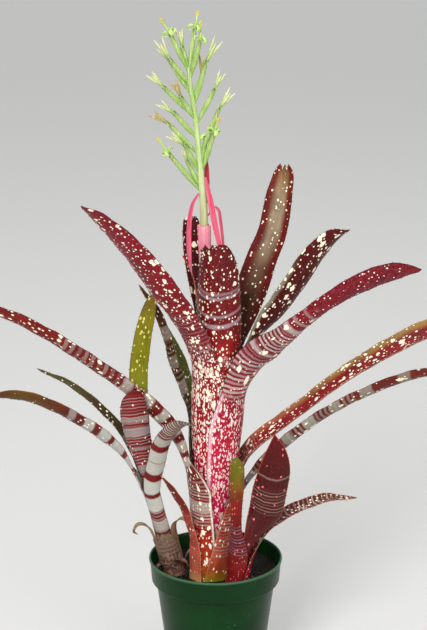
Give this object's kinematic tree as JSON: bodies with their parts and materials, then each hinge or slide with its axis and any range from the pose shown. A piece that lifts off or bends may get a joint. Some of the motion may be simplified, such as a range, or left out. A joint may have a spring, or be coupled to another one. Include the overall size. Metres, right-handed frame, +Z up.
{
  "type": "potted sangre billbergia",
  "caption": "Bromeliad with narrow spotted and banded wine-red leaves, young pups and a lime-green flower spike over pink bracts, in a green plastic nursery pot.",
  "frame": {"origin": "centre of the pot's underside", "axes": "+Z up, -Y towards the front from which the plant is seen, +X to that view's right"},
  "size_m": [0.5339, 0.2202, 0.654],
  "materials": {
    "pot_plastic": "satin dark green moulded plastic with a paler lip",
    "soil": "damp, almost black bark and peat mix",
    "leaf_red": "leathery wine-red leaf with cream spots and grey cross-bands, slightly glossy",
    "leaf_olive": "leathery olive leaf with cream dots and brown-red margins, slightly glossy",
    "leaf_dry": "dry papery tan leaf sheath, matte",
    "bract_pink": "thin satin pink bract",
    "flower_lime": "smooth waxy yellow-green stem and florets",
    "stem_pale": "matte pale fibrous stem"
  },
  "bodies": {
    "root": {"bract_dark_back": "leaf_red", "bract_olive": "leaf_olive", "bract_pink_curled": "bract_pink", "bract_pink_left": "bract_pink", "bract_pink_right": "bract_pink", "bract_pink_sheath": "bract_pink", "flower_stem": "flower_lime", "leaf_back_dark": "leaf_red", "leaf_back_right_tall": "leaf_olive", "leaf_front_centre": "leaf_red", "leaf_left_basal": "leaf_red", "leaf_left_green": "leaf_olive", "leaf_left_long": "leaf_red", "leaf_left_spotted": "leaf_red", "leaf_left_thin": "leaf_red", "leaf_right_arching": "leaf_red", "leaf_right_long": "leaf_red", "leaf_right_low": "leaf_red", "leaf_right_spotted": "leaf_red", "left_pup_dry_sheath_left": "leaf_dry", "left_pup_dry_sheath_right": "leaf_dry", "left_pup_leaf_arching": "leaf_red", "left_pup_leaf_curled": "leaf_red", "left_pup_leaf_dark": "leaf_olive", "left_pup_leaf_front": "leaf_red", "left_pup_leaf_olive": "leaf_olive", "left_pup_stem": "stem_pale", "pot": "pot_plastic", "right_pup_leaf_broad": "leaf_red", "right_pup_leaf_front": "leaf_red", "right_pup_leaf_outer": "leaf_red", "right_pup_stem": "stem_pale", "soil": "soil"}
  },
  "joints": []
}
